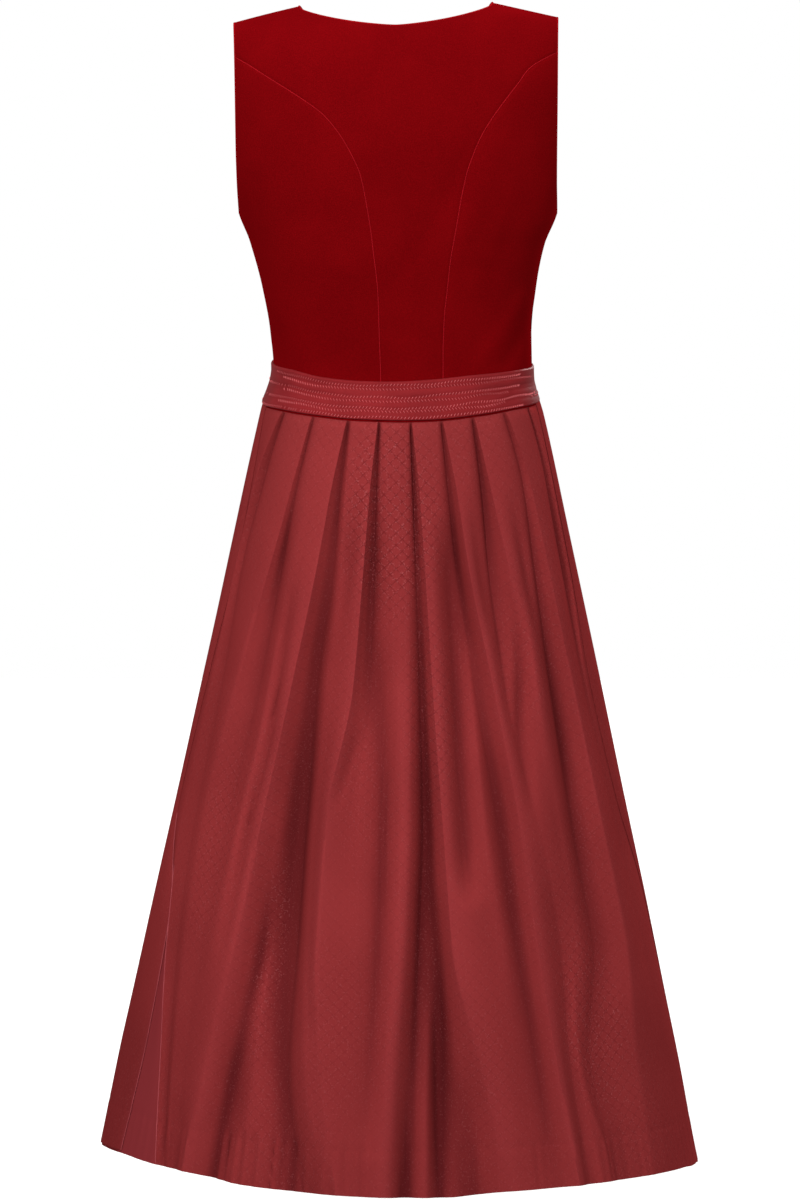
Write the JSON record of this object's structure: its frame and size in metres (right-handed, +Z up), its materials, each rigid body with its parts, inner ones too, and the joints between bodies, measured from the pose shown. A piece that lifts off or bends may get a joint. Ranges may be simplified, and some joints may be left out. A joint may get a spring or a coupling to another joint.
{
  "type": "dirndl",
  "caption": "Sleeveless dirndl as worn: velvet bodice with curved princess seams, pleated satin jacquard skirt, and an apron on a stitched waist band. Hollow, open at neck, armholes and hem.",
  "frame": {"origin": "midway between the neck ends of the two shoulder seams, where the wearer's shoulders hold the dress", "axes": "+Z up along the dress, -Y towards the wearer's back, +X across it to the wearer's right"},
  "size_m": [0.6308, 0.51, 1.2215],
  "materials": {
    "velvet": "dark red cotton velvet, short upright nap",
    "stitched_band": "red satin band with rows of lighter topstitching",
    "jacquard": "wine red satin jacquard, tone-on-tone crosses, soft sheen",
    "apron_jacquard": "wine red satin jacquard, tone-on-tone crosses, soft sheen"
  },
  "bodies": {
    "root": {"bodice_back_centre": "velvet", "bodice_back_side_left": "velvet", "bodice_back_side_right": "velvet", "bodice_front_side_left": "velvet", "bodice_front_side_right": "velvet", "bodice_front_centre_left": "velvet", "bodice_front_centre_right": "velvet", "apron_band_back": "stitched_band", "apron_band_front": "stitched_band", "skirt_back": "jacquard", "skirt_front": "jacquard", "apron_panel": "apron_jacquard"}
  },
  "joints": []
}
